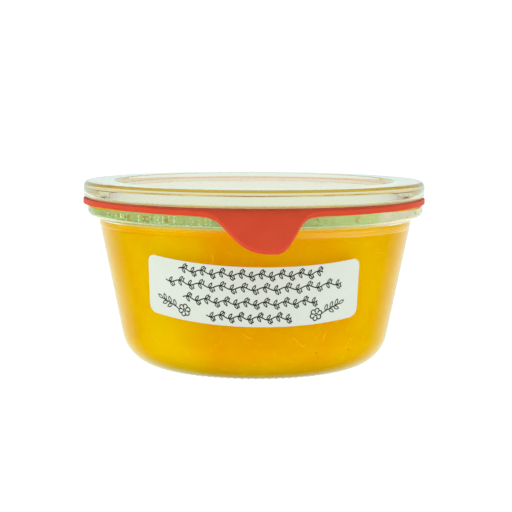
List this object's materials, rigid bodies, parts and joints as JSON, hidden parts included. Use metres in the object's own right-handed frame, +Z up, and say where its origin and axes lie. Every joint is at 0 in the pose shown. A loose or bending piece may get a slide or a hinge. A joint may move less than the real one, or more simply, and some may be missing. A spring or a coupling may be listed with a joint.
{
  "type": "marmalade jar",
  "caption": "Shut low preserving jar of tapered clear glass, with a loose glass lid on a red rubber ring with a pull tab, a plain front label and orange marmalade inside.",
  "frame": {"origin": "on the jar's axis, at the middle of its flat underside, on the surface that the jar stands on", "axes": "+Z is up along the axis of the jar, the label and the ring's pull tab face -Y, and +X is to the viewer's right"},
  "size_m": [0.1084, 0.1223, 0.0582],
  "materials": {
    "clear_glass": "polished",
    "red_rubber": "satin",
    "orange_jam": "gloss",
    "white_paper": "matte"
  },
  "bodies": {
    "root": {"glass_jar": "clear_glass", "glass_lid": "clear_glass", "rubber_ring": "red_rubber", "marmalade": "orange_jam", "label": "white_paper"}
  },
  "joints": []
}
